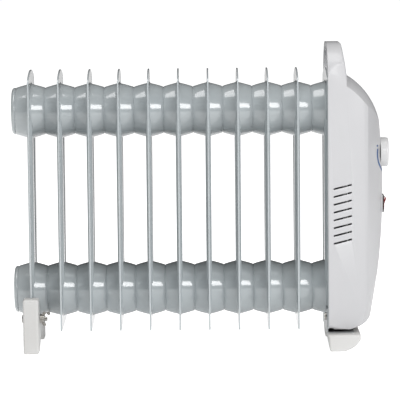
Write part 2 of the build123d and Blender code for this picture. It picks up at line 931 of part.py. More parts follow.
# ---------------------------------------------------------------- controls: rocker switch
bezel_base = rim + front_depth + fit / 2
switch_rear = bezel_base - switch_depth
pivot_x = bezel_base
window = (2 * rocker_radius + 2 * clearance, rocker_width + 2 * clearance)
with BuildPart() as switch_housing:
    with BuildSketch(cross_plane(bezel_base)):
        with Locations((0, switch_height)):
            RectangleRounded(bezel[1], bezel[0], bezel_thick)
    extrude(amount=bezel_thick)
    fillet(switch_housing.edges().group_by(Axis.X)[-1], bezel_thick / 3)
    with BuildSketch(cross_plane(switch_rear)):
        with Locations((0, switch_height)):
            Rectangle(switch_body[1], switch_body[0])
    extrude(amount=switch_depth)
    with BuildSketch(cross_plane(bezel_base + bezel_thick)):
        with Locations((0, switch_height)):
            Rectangle(window[1], window[0])
    extrude(amount=-(bezel_thick + rocker_radius), mode=Mode.SUBTRACT)
    with BuildSketch(Plane.XZ):
        with Locations((pivot_x, switch_height)):
            Circle(rocker_pin + fit)
    extrude(amount=rocker_width / 2 + rocker_pin_length + clearance, both=True, mode=Mode.SUBTRACT)
save(switch_housing.part, "switch_housing")

tilt = radians(rocker_tilt)
rocker_plane = Plane(origin=(pivot_x, 0, switch_height), x_dir=(cos(tilt), 0, -sin(tilt)), z_dir=(0, -1, 0))
rocker_heel = sqrt(rocker_radius**2 - rocker_rise**2)
with BuildPart() as rocker_button:
    with BuildSketch(rocker_plane):
        with BuildLine():
            Polyline((rocker_rise, rocker_heel), (rocker_rise - rocker_dip, 0), (rocker_rise, -rocker_heel))
            ThreePointArc((rocker_rise, -rocker_heel), (0, -rocker_radius), (-rocker_rise, -rocker_heel))
            Line((-rocker_rise, -rocker_heel), (-rocker_rise, rocker_heel))
            ThreePointArc((-rocker_rise, rocker_heel), (0, rocker_radius), (rocker_rise, rocker_heel))
        make_face()
    extrude(amount=rocker_width / 2, both=True)
    with BuildSketch(rocker_plane):
        Circle(rocker_pin)
    extrude(amount=rocker_width / 2 + rocker_pin_length, both=True)
    with BuildSketch(rocker_plane):
        with Locations((rocker_hollow[0] / 2 - rocker_rise, 0)):
            Rectangle(*rocker_hollow)
    extrude(amount=rocker_width / 3, both=True, mode=Mode.SUBTRACT)
save(rocker_button.part, "rocker_button")

with BuildPart() as neon_lamp:
    with BuildSketch(Plane.XY.offset(switch_height - lamp[1] / 2)):
        with Locations((bezel_base - rocker_radius + lamp[0] + fit, 0)):
            Circle(lamp[0])
    extrude(amount=lamp[1])
    fillet(neon_lamp.edges(), lamp_round)
save(neon_lamp.part, "neon_lamp")

# ---------------------------------------------------------------- controls: cut-out, terminals, earth
with BuildPart() as thermal_cutout:
    with BuildSketch(cross_plane(plate_front)):
        with Locations((cutout_y, small_height)):
            Circle(cutout_radius)
    extrude(amount=cutout_thick)
save(thermal_cutout.part, "thermal_cutout")

with BuildPart() as spade_tabs:
    with BuildSketch(cross_plane(thermostat_rear)):
        with Locations((-block_pitch, dial_height), (block_pitch, dial_height)):
            Rectangle(*tab)
    extrude(amount=-tab_reach)
    with BuildSketch(cross_plane(switch_rear)):
        with Locations((0, switch_height)):
            with GridLocations(0, switch_tab_pitch, 1, 3):
                Rectangle(tab[1], tab[0])
    extrude(amount=-tab_reach)
    with BuildSketch(cross_plane(plate_front + cutout_thick / 2)):
        with Locations((cutout_y, small_height)):
            with GridLocations(0, 2 * cutout_radius + tab_reach, 1, 2):
                Rectangle(tab[1], tab_reach)
    extrude(amount=tab[0])
save(spade_tabs.part, "spade_tabs")

with BuildPart() as cutout_clip:
    strap_half = cutout_radius + clearance
    with BuildSketch(Plane.XY.offset(small_height)):
        with BuildLine():
            Polyline(
                (plate_front, cutout_y - strap_half - strap_ear),
                (plate_front + strap, cutout_y - strap_half - strap_ear),
                (plate_front + strap, cutout_y - strap_half - strap),
                (plate_front + cutout_thick + strap, cutout_y - strap_half - strap),
                (plate_front + cutout_thick + strap, cutout_y + strap_half + strap),
                (plate_front + strap, cutout_y + strap_half + strap),
                (plate_front + strap, cutout_y + strap_half + strap_ear),
                (plate_front, cutout_y + strap_half + strap_ear),
                (plate_front, cutout_y + strap_half),
                (plate_front + cutout_thick, cutout_y + strap_half),
                (plate_front + cutout_thick, cutout_y - strap_half),
                (plate_front, cutout_y - strap_half),
                (plate_front, cutout_y - strap_half - strap_ear),
            )
        make_face()
    extrude(amount=strap_width / 2, both=True)
save(cutout_clip.part, "cutout_clip")

live_x = plate_front + block_live
feed_x = plate_front + block_feed
with BuildPart() as terminal_block:
    with BuildSketch(Plane.XY.offset(block_low)):
        with Locations((plate_front + block_size[0] / 2, 0)):
            RectangleRounded(block_size[0], block_size[1], block_round)
    extrude(amount=block_size[2])
    with BuildSketch(Plane.XY.offset(block_low + block_size[2])):
        with Locations((live_x, -block_pitch)):
            Circle(wire_radius + fit)
    extrude(amount=-wire_entry, mode=Mode.SUBTRACT)
    with BuildSketch(Plane.XY.offset(block_low)):
        with Locations((feed_x, -block_pitch), (feed_x, 0)):
            Circle(wire_radius + fit)
    extrude(amount=wire_entry, mode=Mode.SUBTRACT)
    with BuildSketch(cross_plane(plate_front + block_size[0])):
        with Locations((0, block_low + block_size[2] / 2)):
            with GridLocations(block_pitch, 0, 3, 1):
                Circle(terminal_radius)
    extrude(amount=-terminal_well, mode=Mode.SUBTRACT)
save(terminal_block.part, "terminal_block")

with BuildPart() as terminal_screws:
    with BuildSketch(cross_plane(plate_front + block_size[0] - terminal_well)):
        with Locations((0, block_low + block_size[2] / 2)):
            with GridLocations(block_pitch, 0, 3, 1):
                Circle(terminal_radius - fit)
    extrude(amount=terminal_screw_length)
save(terminal_screws.part, "terminal_screws")

barrel_x = plate_front + wire_radius + tab[0] + fit
with BuildPart() as earth_lug:
    with BuildSketch(cross_plane(plate_front)):
        with Locations((-earth_offset, small_height)):
            Circle(lug_radius)
        with Locations((-earth_offset, small_height + lug_radius)):
            Rectangle(lug_neck, lug_radius)
        with Locations((-earth_offset, small_height)):
            Circle(screw_radius + fit, mode=Mode.SUBTRACT)
    extrude(amount=tab[0])
    with BuildSketch(Plane.XY.offset(small_height + lug_radius + tab[0])):
        with Locations((barrel_x, -earth_offset)):
            Circle(wire_radius + tab[0])
    extrude(amount=lug_barrel)
save(earth_lug.part, "earth_lug")

with BuildPart() as earth_screw:
    with BuildSketch(cross_plane(plate_x - pocket_gap)):
        with Locations((-earth_offset, small_height)):
            Circle(screw_radius)
    extrude(amount=pocket_gap + plate_thick + tab[0])
    with BuildSketch(cross_plane(plate_front + tab[0])):
        with Locations((-earth_offset, small_height)):
            Circle(screw_head)
    extrude(amount=earth_head)
save(earth_screw.part, "earth_screw")


def wire(points, bend):
    """Insulated wire along straight runs joined by arcs."""
    start, second = Vector(points[0]), Vector(points[1])
    with BuildPart() as run:
        with BuildLine() as route:
            FilletPolyline(*points, radius=bend)
        with BuildSketch(Plane(origin=start, z_dir=second - start)):
            Circle(wire_radius)
        sweep(path=route.line)
    return run.part


thermo_tab = thermostat_rear - tab_reach
switch_tab = switch_rear - tab_reach
cutout_wire_x = plate_front + cutout_thick / 2 + tab[0] / 2
cutout_tab_end = cutout_radius + tab_reach
pin_tip = x_last + pin_reach
block_top = block_low + block_size[2] - wire_entry
block_foot = block_low + wire_entry
lug_top = small_height + lug_radius + tab[0] + lug_barrel
wires = {
    "wire_live": [
        (live_x, -block_pitch, block_top),
        (live_x, -block_pitch, dial_height),
        (thermo_tab, -block_pitch, dial_height),
    ],
    "wire_switched": [
        (thermo_tab, block_pitch, dial_height),
        (live_x, block_pitch, dial_height),
        (live_x, block_pitch, (dial_height + switch_height) / 2),
        (live_x, 0, switch_height + switch_tab_pitch),
        (switch_tab, 0, switch_height + switch_tab_pitch),
    ],
    "wire_heat": [
        (switch_tab, 0, switch_height - switch_tab_pitch),
        (cutout_wire_x, 0, switch_height - switch_tab_pitch),
        (cutout_wire_x, cutout_y, switch_height - switch_tab_pitch),
        (cutout_wire_x, cutout_y, small_height + cutout_tab_end),
    ],
    "wire_element": [
        (cutout_wire_x, cutout_y, small_height - cutout_tab_end),
        (cutout_wire_x, cutout_y, small_height - cutout_tab_end - wire_turn),
        (pin_tip + wire_turn, cutout_y - wire_turn, lower_axis + wire_turn + wire_bend),
        (pin_tip + wire_turn, leg_offset, lower_axis),
        (pin_tip, leg_offset, lower_axis),
    ],
    "wire_neutral": [
        (feed_x, 0, block_foot),
        (feed_x, 0, small_height - wire_turn),
        (pin_tip + wire_turn, -leg_offset, lower_axis + 2 * wire_turn),
        (pin_tip + wire_turn, -leg_offset, lower_axis),
        (pin_tip, -leg_offset, lower_axis),
    ],
    "wire_earth": [
        (feed_x, -block_pitch, block_foot),
        (feed_x, -block_pitch, block_low - wire_turn),
        (barrel_x, -earth_offset, block_low - wire_bend),
        (barrel_x, -earth_offset, lug_top),
    ],
}
for name, points in wires.items():
    save(wire(points, wire_bend), name)


# ---------------------------------------------------------------- feet
rear_foot_face = x_first + foot_thick / 2
with BuildPart() as rear_foot:
    with BuildSketch(cross_plane(x_first)) as foot_outline:
        with BuildLine():
            Polyline(
                (foot_width / 2, 0),
                (foot_width / 2, foot_height),
                (foot_shelf, foot_height),
                (foot_waist, foot_bar),
                (-foot_waist, foot_bar),
                (-foot_shelf, foot_height),
                (-foot_width / 2, foot_height),
                (-foot_width / 2, 0),
                (foot_width / 2, 0),
            )
        make_face()
        fillet(foot_outline.vertices(), foot_round)
        with BuildLine():
            Line((-foot_pad, 0), (foot_pad, 0))
            ThreePointArc((foot_pad, 0), (0, foot_arch), (-foot_pad, 0))
        make_face(mode=Mode.SUBTRACT)
    extrude(amount=foot_thick / 2, both=True)
    fillet(rear_foot.edges().group_by(Axis.X)[-1] + rear_foot.edges().group_by(Axis.X)[0], foot_edge)
    with BuildSketch(cross_plane(x_first)):
        with Locations((0, fin_bottom - fit + foot_height / 2)):
            Rectangle(fin_width + 2 * clearance, foot_height)
    extrude(amount=sheet + fit, both=True, mode=Mode.SUBTRACT)
    with BuildSketch(cross_plane(x_first)):
        with Locations((-bolt_offset, bolt_height), (bolt_offset, bolt_height)):
            Circle(bolt_radius + fit)
    extrude(amount=foot_thick, both=True, mode=Mode.SUBTRACT)
save(rear_foot.part, "rear_foot")

with BuildPart() as rear_foot_bolts:
    for y in (-bolt_offset, bolt_offset):
        with BuildSketch(cross_plane(x_first - foot_thick / 2)):
            with Locations((y, bolt_height)):
                Circle(bolt_radius)
        extrude(amount=foot_thick + bolt_spare)
        with BuildSketch(cross_plane(x_first - foot_thick / 2)):
            with Locations((y, bolt_height)):
                Circle(2 * bolt_radius)
        extrude(amount=-bolt_head)
    heads = rear_foot_bolts.edges().group_by(Axis.X)[0]
    fillet(heads, bolt_head / 2)
save(rear_foot_bolts.part, "rear_foot_bolts")


def wing_nut(y):
    """Wing nut on one rear foot bolt, on the inner face of the foot."""
    face = rear_foot_face + fit
    with BuildPart() as nut:
        with BuildSketch(cross_plane(face)):
            with Locations((y, bolt_height)):
                Circle(wing_hub)
        extrude(amount=wing_hub, taper=wing_taper)
        for side in (1, -1):
            with BuildSketch(Plane(origin=(face, y, bolt_height), x_dir=(1, 0, 0), z_dir=(0, -1, 0))) as ear:
                with BuildLine():
                    Polyline(
                        (wing_root, 0),
                        (wing_root, side * wing_elbow),
                        (wing_reach / 2, side * wing_span),
                        (wing_reach, side * wing_span),
                        (wing_hub - fit, side * (wing_elbow - wing_root)),
                        (wing_hub - fit, 0),
                        (wing_root, 0),
                    )
                make_face()
                fillet([v for v in ear.vertices() if abs(v.Y) > wing_span - fit], wing_round)
            extrude(amount=wing_thick / 2, both=True)
        with BuildSketch(cross_plane(face)):
            with Locations((y, bolt_height)):
                Circle(bolt_radius + fit)
        extrude(amount=2 * wing_span, both=True, mode=Mode.SUBTRACT)
    return nut.part


save(wing_nut(-bolt_offset), "wing_nut_near")
save(wing_nut(bolt_offset), "wing_nut_far")

foot_rear = x_last - 1.0
with BuildPart() as front_foot:
    with BuildSketch(Plane.XZ) as toe:
        with BuildLine():
            Polyline(
                (foot_rear + front_foot_length, front_foot_toe),
                (foot_rear + front_foot_length, front_foot_height),
                (foot_rear, front_foot_height),
                (foot_rear + foot_rake, 0),
                (foot_rear + front_foot_sole, 0),
            )
            ThreePointArc(
                (foot_rear + front_foot_sole, 0),
                (foot_rear + front_foot_belly[0], front_foot_belly[1]),
                (foot_rear + front_foot_length, front_foot_toe),
            )
        make_face()
        fillet(toe.vertices().sort_by_distance((foot_rear + foot_rake, 0))[0], foot_rake)
    extrude(amount=foot_width / 2, both=True)
    with BuildSketch(cross_plane(foot_rear)):
        with BuildLine():
            Line((-foot_pad, 0), (foot_pad, 0))
            ThreePointArc((foot_pad, 0), (0, front_foot_arch), (-foot_pad, 0))
        make_face()
    extrude(amount=2 * front_foot_length, both=True, mode=Mode.SUBTRACT)
    ends = front_foot.faces().filter_by(Axis.Y)
    fillet((ends.sort_by(Axis.Y)[0]).edges() + (ends.sort_by(Axis.Y)[-1]).edges(), foot_edge)
    with BuildSketch(Plane.XY.offset(front_foot_height)):
        with Locations((bracket_screw_x, -screw_offset), (bracket_screw_x, screw_offset)):
            Circle(screw_radius + fit)
    extrude(amount=-(foot_screw_depth + boss_rise), mode=Mode.SUBTRACT)
save(front_foot.part, "front_foot")

bracket_face = x_last - sheet
with BuildPart() as foot_bracket:
    with BuildSketch(cross_plane(bracket_face)):
        with Locations((0, (bracket_top + front_foot_height) / 2)):
            Rectangle(bracket_width, bracket_top - front_foot_height)
        with Locations((0, lower_axis)):
            Circle(belly_radius + 2 * clearance, mode=Mode.SUBTRACT)
        with Locations((-bolt_offset, bolt_height), (bolt_offset, bolt_height)):
            Circle(bolt_radius + fit, mode=Mode.SUBTRACT)
    extrude(amount=-bracket_thick)
    with BuildSketch(Plane.XY.offset(front_foot_height)):
        with Locations((bracket_face - bracket_thick + bracket_leg / 2, 0)):
            Rectangle(bracket_leg, bracket_width)
        with Locations((bracket_screw_x, -screw_offset), (bracket_screw_x, screw_offset)):
            Circle(screw_radius + fit, mode=Mode.SUBTRACT)
    extrude(amount=bracket_thick)
save(foot_bracket.part, "foot_bracket")

with BuildPart() as foot_screws:
    with BuildSketch(Plane.XY.offset(front_foot_height - foot_screw_depth)):
        with Locations((bracket_screw_x, -screw_offset), (bracket_screw_x, screw_offset)):
            Circle(screw_radius)
    extrude(amount=foot_screw_depth + bracket_thick)
    with BuildSketch(Plane.XY.offset(front_foot_height + bracket_thick)):
        with Locations((bracket_screw_x, -screw_offset), (bracket_screw_x, screw_offset)):
            Circle(screw_head)
    extrude(amount=foot_screw_head)
save(foot_screws.part, "foot_screws")

with BuildPart() as foot_bolts:
    for y in (-bolt_offset, bolt_offset):
        with BuildSketch(cross_plane(bracket_face - bracket_thick)):
            with Locations((y, bolt_height)):
                Circle(bolt_radius)
        extrude(amount=bracket_thick + weld_plate + foot_bolt_spare)
        with BuildSketch(cross_plane(bracket_face - bracket_thick)):
            with Locations((y, bolt_height)):
                Circle(foot_bolt_head)
        extrude(amount=-bolt_head)
save(foot_bolts.part, "foot_bolts")

with BuildPart() as foot_nuts:
    with BuildSketch(cross_plane(x_last + sheet)):
        with Locations((-bolt_offset, bolt_height), (bolt_offset, bolt_height)):
            RegularPolygon(foot_nut_flats / 2, 6, major_radius=False)
            Circle(bolt_radius + fit / 2, mode=Mode.SUBTRACT)
    extrude(amount=foot_nut_thick)
save(foot_nuts.part, "foot_nuts")
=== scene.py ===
import json
import logging
import math
from collections.abc import Callable, Iterator, Sequence
from contextlib import contextmanager
from dataclasses import dataclass, field
from enum import Enum

import bmesh
import bpy
from mathutils import Matrix, Vector

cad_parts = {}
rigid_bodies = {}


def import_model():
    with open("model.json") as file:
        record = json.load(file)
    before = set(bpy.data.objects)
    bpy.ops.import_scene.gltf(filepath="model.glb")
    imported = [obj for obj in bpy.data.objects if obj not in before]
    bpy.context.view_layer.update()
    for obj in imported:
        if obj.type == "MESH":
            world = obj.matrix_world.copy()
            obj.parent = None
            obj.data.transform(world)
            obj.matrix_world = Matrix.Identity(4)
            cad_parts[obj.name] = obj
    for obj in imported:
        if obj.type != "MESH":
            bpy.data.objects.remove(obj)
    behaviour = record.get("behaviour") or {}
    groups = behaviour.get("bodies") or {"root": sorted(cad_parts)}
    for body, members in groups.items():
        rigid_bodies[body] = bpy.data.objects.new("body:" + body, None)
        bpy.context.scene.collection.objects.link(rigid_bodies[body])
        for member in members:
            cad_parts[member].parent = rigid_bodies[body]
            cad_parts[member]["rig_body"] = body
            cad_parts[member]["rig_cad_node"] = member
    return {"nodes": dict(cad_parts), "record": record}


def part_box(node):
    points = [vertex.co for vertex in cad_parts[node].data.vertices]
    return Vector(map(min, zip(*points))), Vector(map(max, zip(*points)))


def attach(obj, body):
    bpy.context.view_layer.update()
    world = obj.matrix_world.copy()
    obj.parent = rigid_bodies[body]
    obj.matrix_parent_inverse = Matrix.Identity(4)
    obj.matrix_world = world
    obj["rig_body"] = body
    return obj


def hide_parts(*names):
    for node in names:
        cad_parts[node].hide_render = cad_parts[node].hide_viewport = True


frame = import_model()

log = logging.getLogger("radiator")
Colour = tuple[float, float, float]
PointTest = Callable[[Vector], bool]
PairTest = Callable[[Vector, Vector], bool]
MM = 0.001
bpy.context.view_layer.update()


# ---------------------------------------------------------------- working at the bench
def linear(red: int, green: int, blue: int) -> Colour:
    """Turn a paint maker's 0 to 255 colour into the linear values that shaders take.

    Args:
        red: red share, 0 to 255.
        green: green share, 0 to 255.
        blue: blue share, 0 to 255.

    Returns:
        The three linear shares, 0 to 1.
    """
    shares = (value / 255 for value in (red, green, blue))
    return tuple(s / 12.92 if s <= 0.04045 else ((s + 0.055) / 1.055) ** 2.4 for s in shares)


def clear_selection() -> None:
    """Deselect every object, so that the next operator acts on its own piece only."""
    if bpy.context.mode != "OBJECT":
        bpy.ops.object.mode_set(mode="OBJECT")
    bpy.ops.object.select_all(action="DESELECT")


def take(piece: bpy.types.Object) -> None:
    """Make one piece the only selected and the active object."""
    clear_selection()
    piece.select_set(True)
    bpy.context.view_layer.objects.active = piece


def settle(piece: bpy.types.Object) -> bpy.types.Object:
    """Move a piece's place, turn and scale into its mesh, and leave its object at the origin."""
    take(piece)
    bpy.ops.object.transform_apply(location=True, rotation=True, scale=True)
    return piece


@contextmanager
def edit(piece: bpy.types.Object) -> Iterator[None]:
    """Open a piece in edit mode with nothing selected, and close it again.

    Args:
        piece: the mesh to work on.
    """
    take(piece)
    bpy.ops.object.mode_set(mode="EDIT")
    bpy.ops.mesh.select_all(action="DESELECT")
    yield
    bpy.ops.object.mode_set(mode="OBJECT")


def pick_faces(piece: bpy.types.Object, test: PairTest) -> None:
    """Select the faces of the piece in edit mode by their middle and normal.

    Args:
        piece: the mesh that is open in edit mode.
        test: says yes or no to a face's middle and normal.
    """
    bpy.ops.mesh.select_mode(type="FACE")
    mesh = bmesh.from_edit_mesh(piece.data)
    for face in mesh.faces:
        face.select = test(face.calc_center_median(), face.normal)
    mesh.select_flush_mode()
    bmesh.update_edit_mesh(piece.data)


def pick_edges(piece: bpy.types.Object, test: PairTest) -> None:
    """Select the edges of the piece in edit mode by their two ends.

    Args:
        piece: the mesh that is open in edit mode.
        test: says yes or no to an edge's two ends.
    """
    bpy.ops.mesh.select_mode(type="EDGE")
    mesh = bmesh.from_edit_mesh(piece.data)
    for edge in mesh.edges:
        edge.select = test(edge.verts[0].co, edge.verts[1].co)
    mesh.select_flush_mode()
    bmesh.update_edit_mesh(piece.data)


def pick_points(piece: bpy.types.Object, test: PointTest) -> None:
    """Select the points of the piece in edit mode by their place.

    Args:
        piece: the mesh that is open in edit mode.
        test: says yes or no to a point.
    """
    bpy.ops.mesh.select_mode(type="VERT")
    mesh = bmesh.from_edit_mesh(piece.data)
    for point in mesh.verts:
        point.select = test(point.co)
    mesh.select_flush_mode()
    bmesh.update_edit_mesh(piece.data)


def block(name: str, low: Vector, high: Vector) -> bpy.types.Object:
    """Start a piece from a block between two corners.

    Args:
        name: the piece's name.
        low: its lowest corner.
        high: its highest corner.

    Returns:
        The new piece, its place in its mesh.
    """
    clear_selection()
    bpy.ops.mesh.primitive_cube_add(size=1, location=(low + high) / 2, scale=high - low)
    piece = bpy.context.active_object
    piece.name = name
    return settle(piece)


def turned(
    name: str, start: Vector, steps: Sequence[tuple[float, float]], sides: int
) -> bpy.types.Object:
    """Draw a ring out along +X step by step, as a turned or pressed round piece, and close its ends.

    Args:
        name: the piece's name.
        start: a point on the axis that the steps are measured from.
        steps: distance along the axis and radius of each ring, in order.
        sides: how many points each ring has.

    Returns:
        The new closed piece.
    """
    clear_selection()
    along, radius = steps[0]
    bpy.ops.mesh.primitive_circle_add(
        vertices=sides,
        radius=radius,
        fill_type="NGON",
        location=start + Vector((along, 0, 0)),
        rotation=(0, math.pi / 2, 0),
    )
    piece = settle(bpy.context.active_object)
    piece.name = name
    with edit(piece):
        bpy.ops.mesh.select_all(action="SELECT")
        for further, wider in steps[1:]:
            bpy.ops.mesh.extrude_region_move(TRANSFORM_OT_translate={"value": (further - along, 0, 0)})
            bpy.ops.transform.resize(
                value=(1, wider / radius, wider / radius),
                center_override=start + Vector((further, 0, 0)),
            )
            along, radius = further, wider
        bpy.ops.mesh.select_all(action="SELECT")
        bpy.ops.mesh.normals_make_consistent(inside=False)
    return piece


def soften(piece: bpy.types.Object, width: float, segments: int = 2, angle: float = 30) -> None:
    """Round the edges of a piece that are sharper than an angle.

    Args:
        piece: the mesh to round.
        width: width of the rounding.
        segments: how many faces go round each edge.
        angle: the angle from which an edge counts as sharp, in degrees.
    """
    take(piece)
    rounding = piece.modifiers.new("rounding", "BEVEL")
    rounding.width = width
    rounding.segments = segments
    rounding.limit_method = "ANGLE"
    rounding.angle_limit = math.radians(angle)
    rounding.harden_normals = False
    rounding.use_clamp_overlap = True
    bpy.ops.object.modifier_apply(modifier=rounding.name)


def smooth(piece: bpy.types.Object, angle: float = 35) -> None:
    """Shade a piece smooth except over edges sharper than an angle, in degrees."""
    take(piece)
    bpy.ops.object.shade_smooth_by_angle(angle=math.radians(angle))


def join(name: str, parts: Sequence[bpy.types.Object]) -> bpy.types.Object:
    """Join several meshes into one piece.

    Args:
        name: the joined piece's name.
        parts: the meshes, of which the first takes in the others.

    Returns:
        The joined piece.
    """
    clear_selection()
    for part in parts:
        part.select_set(True)
    bpy.context.view_layer.objects.active = parts[0]
    bpy.ops.object.join()
    parts[0].name = name
    return parts[0]


def copied(piece: bpy.types.Object, name: str, offset: Vector) -> bpy.types.Object:
    """Copy a piece with a mesh of its own, moved by an offset that goes into the mesh.

    Args:
        piece: the finished piece to copy.
        name: the copy's name.
        offset: how far the copy stands from it.

    Returns:
        The copy.
    """
    take(piece)
    bpy.ops.object.duplicate(linked=False)
    copy = bpy.context.active_object
    copy.name = name
    bpy.ops.transform.translate(value=offset)
    return settle(copy)


def from_node(node: str, name: str, merge: float = 0.02 * MM, flat: float = 0.05) -> bpy.types.Object:
    """Copy a CAD node's mesh, merge its loose triangles and clear its flat faces of spare edges.

    Args:
        node: the CAD node to start from.
        name: the new piece's name.
        merge: distance within which points are one.
        flat: angle within which neighbouring faces are one, in degrees.

    Returns:
        The new piece, with the node's exact size.
    """
    clear_selection()
    source = frame["nodes"][node]
    piece = source.copy()
    piece.data = source.data.copy()
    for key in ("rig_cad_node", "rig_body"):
        if key in piece:
            del piece[key]
    piece.parent = None
    piece.name = name
    bpy.context.scene.collection.objects.link(piece)
    take(piece)
    bpy.ops.mesh.customdata_custom_splitnormals_clear()
    with edit(piece):
        bpy.ops.mesh.select_all(action="SELECT")
        bpy.ops.mesh.remove_doubles(threshold=merge)
        bpy.ops.mesh.dissolve_limited(angle_limit=math.radians(flat))
    return piece


def fit_out(piece: bpy.types.Object, body: str, slot: str, *nodes: str) -> bpy.types.Object:
    """Put a piece on its CAD body, give it its slot and finish, and let it stand for its nodes.

    Args:
        piece: the finished piece.
        body: the CAD body it rides on.
        slot: the record's material slot.
        *nodes: the CAD nodes that it stands for.

    Returns:
        The same piece.
    """
    piece.data.materials.clear()
    piece.data.materials.append(Finishes.of(slot))
    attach(piece, body)
    if nodes:
        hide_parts(*nodes)
    log.info("%s: %d faces, on %s, in %s", piece.name, len(piece.data.polygons), body, slot)
    return piece


# ---------------------------------------------------------------- effects shared by the finishes
class Wiring:
    """A node tree under construction, with short ways to add and join nodes."""

    def __init__(self, tree: bpy.types.NodeTree, keep: bool = False) -> None:
        """Take over a tree and empty it, unless its nodes are to be kept."""
        self.tree = tree
        if not keep:
            tree.nodes.clear()

    def add(self, kind: str, **settings: object) -> bpy.types.Node:
        """Add a node and set its properties.

        Args:
            kind: the node's type, without its ShaderNode prefix.
            **settings: properties of the node.

        Returns:
            The node.
        """
        node = self.tree.nodes.new("ShaderNode" + kind)
        for key, value in settings.items():
            setattr(node, key, value)
        return node

    def feed(self, socket: bpy.types.NodeSocket, value: object) -> None:
        """Link a socket to another one's output, or set it to a plain value.

        Args:
            socket: the input to feed.
            value: an output to link, or a number, a vector or a colour.
        """
        if isinstance(value, bpy.types.NodeSocket):
            self.tree.links.new(value, socket)
        elif isinstance(value, tuple) and len(value) == 3 and socket.type == "RGBA":
            socket.default_value = (*value, 1)
        else:
            socket.default_value = value

    def noise(
        self, where: object, scale: object, detail: float = 2, rough: float = 0.5
    ) -> bpy.types.NodeSocket:
        """Add a noise texture.

        Args:
            where: the place it is read at.
            scale: how many of its waves fit in a metre.
            detail: how many finer layers it has.
            rough: how strong the finer layers are.

        Returns:
            Its value, 0 to 1.
        """
        node = self.add("TexNoise")
        self.feed(node.inputs["Vector"], where)
        self.feed(node.inputs["Scale"], scale)
        node.inputs["Detail"].default_value = detail
        node.inputs["Roughness"].default_value = rough
        return node.outputs["Fac"]

    def sum(self, kind: str, a: object, b: object) -> bpy.types.NodeSocket:
        """Add a sum of two values.

        Args:
            kind: the sum's kind, such as ADD or MULTIPLY.
            a: the first value.
            b: the second value.

        Returns:
            The sum's result.
        """
        node = self.add("Math", operation=kind)
        self.feed(node.inputs[0], a)
        self.feed(node.inputs[1], b)
        return node.outputs[0]

    def span(
        self, value: object, low: float, high: float, to_low: object = 0.0, to_high: float = 1.0
    ) -> bpy.types.NodeSocket:
        """Spread the stretch from low to high over a new one, clamped.

        Args:
            value: the value to spread.
            low: where the stretch starts.
            high: where it ends.
            to_low: the result at its start, or an output that gives it.
            to_high: the result at its end.

        Returns:
            The result.
        """
        node = self.add("MapRange", clamp=True)
        for socket, given in zip(node.inputs, (value, low, high, to_low, to_high)):
            self.feed(socket, given)
        return node.outputs[0]

    def blend(self, share: object, a: object, b: object) -> bpy.types.NodeSocket:
        """Mix two colours.

        Args:
            share: how much of the second colour there is, 0 to 1.
            a: the first colour.
            b: the second colour.

        Returns:
            The mixed colour.
        """
        node = self.add("Mix", data_type="RGBA")
        self.feed(node.inputs[0], share)
        self.feed(node.inputs[6], a)
        self.feed(node.inputs[7], b)
        return node.outputs[2]

    def group(self, effect: bpy.types.NodeTree, **values: object) -> bpy.types.Node:
        """Place a shared effect, with its named inputs fed.

        Args:
            effect: the effect's node group.
            **values: an input's name, with _ for a space, and what feeds it.

        Returns:
            The group node.
        """
        node = self.add("Group")
        node.node_tree = effect
        for key, value in values.items():
            self.feed(node.inputs[key.replace("_", " ")], value)
        return node


def effect(
    name: str, inputs: dict[str, object], outputs: Sequence[str]
) -> tuple[Wiring, dict[str, bpy.types.NodeSocket], bpy.types.Node]:
    """Start a shared effect as a node group with named sockets.

    Args:
        name: the effect's name.
        inputs: each input's name and its value: a float, a colour or None for a vector.
        outputs: the names of its outputs; one that ends in Colour is a colour.

    Returns:
        The wiring, its inputs by name, and the node that takes the outputs.
    """
    tree = bpy.data.node_groups.new(name, "ShaderNodeTree")
    wiring = Wiring(tree)
    for key, value in inputs.items():
        kind = "NodeSocketVector" if value is None else "NodeSocketFloat"
        kind = "NodeSocketColor" if isinstance(value, tuple) else kind
        socket = tree.interface.new_socket(key, in_out="INPUT", socket_type=kind)
        if value is not None:
            socket.default_value = (*value, 1) if isinstance(value, tuple) else value
    for key in outputs:
        kind = "NodeSocketColor" if key.endswith("Colour") else "NodeSocketFloat"
        tree.interface.new_socket(key, in_out="OUTPUT", socket_type=kind)
    source = tree.nodes.new("NodeGroupInput")
    return wiring, {s.name: s for s in source.outputs if s.name}, tree.nodes.new("NodeGroupOutput")


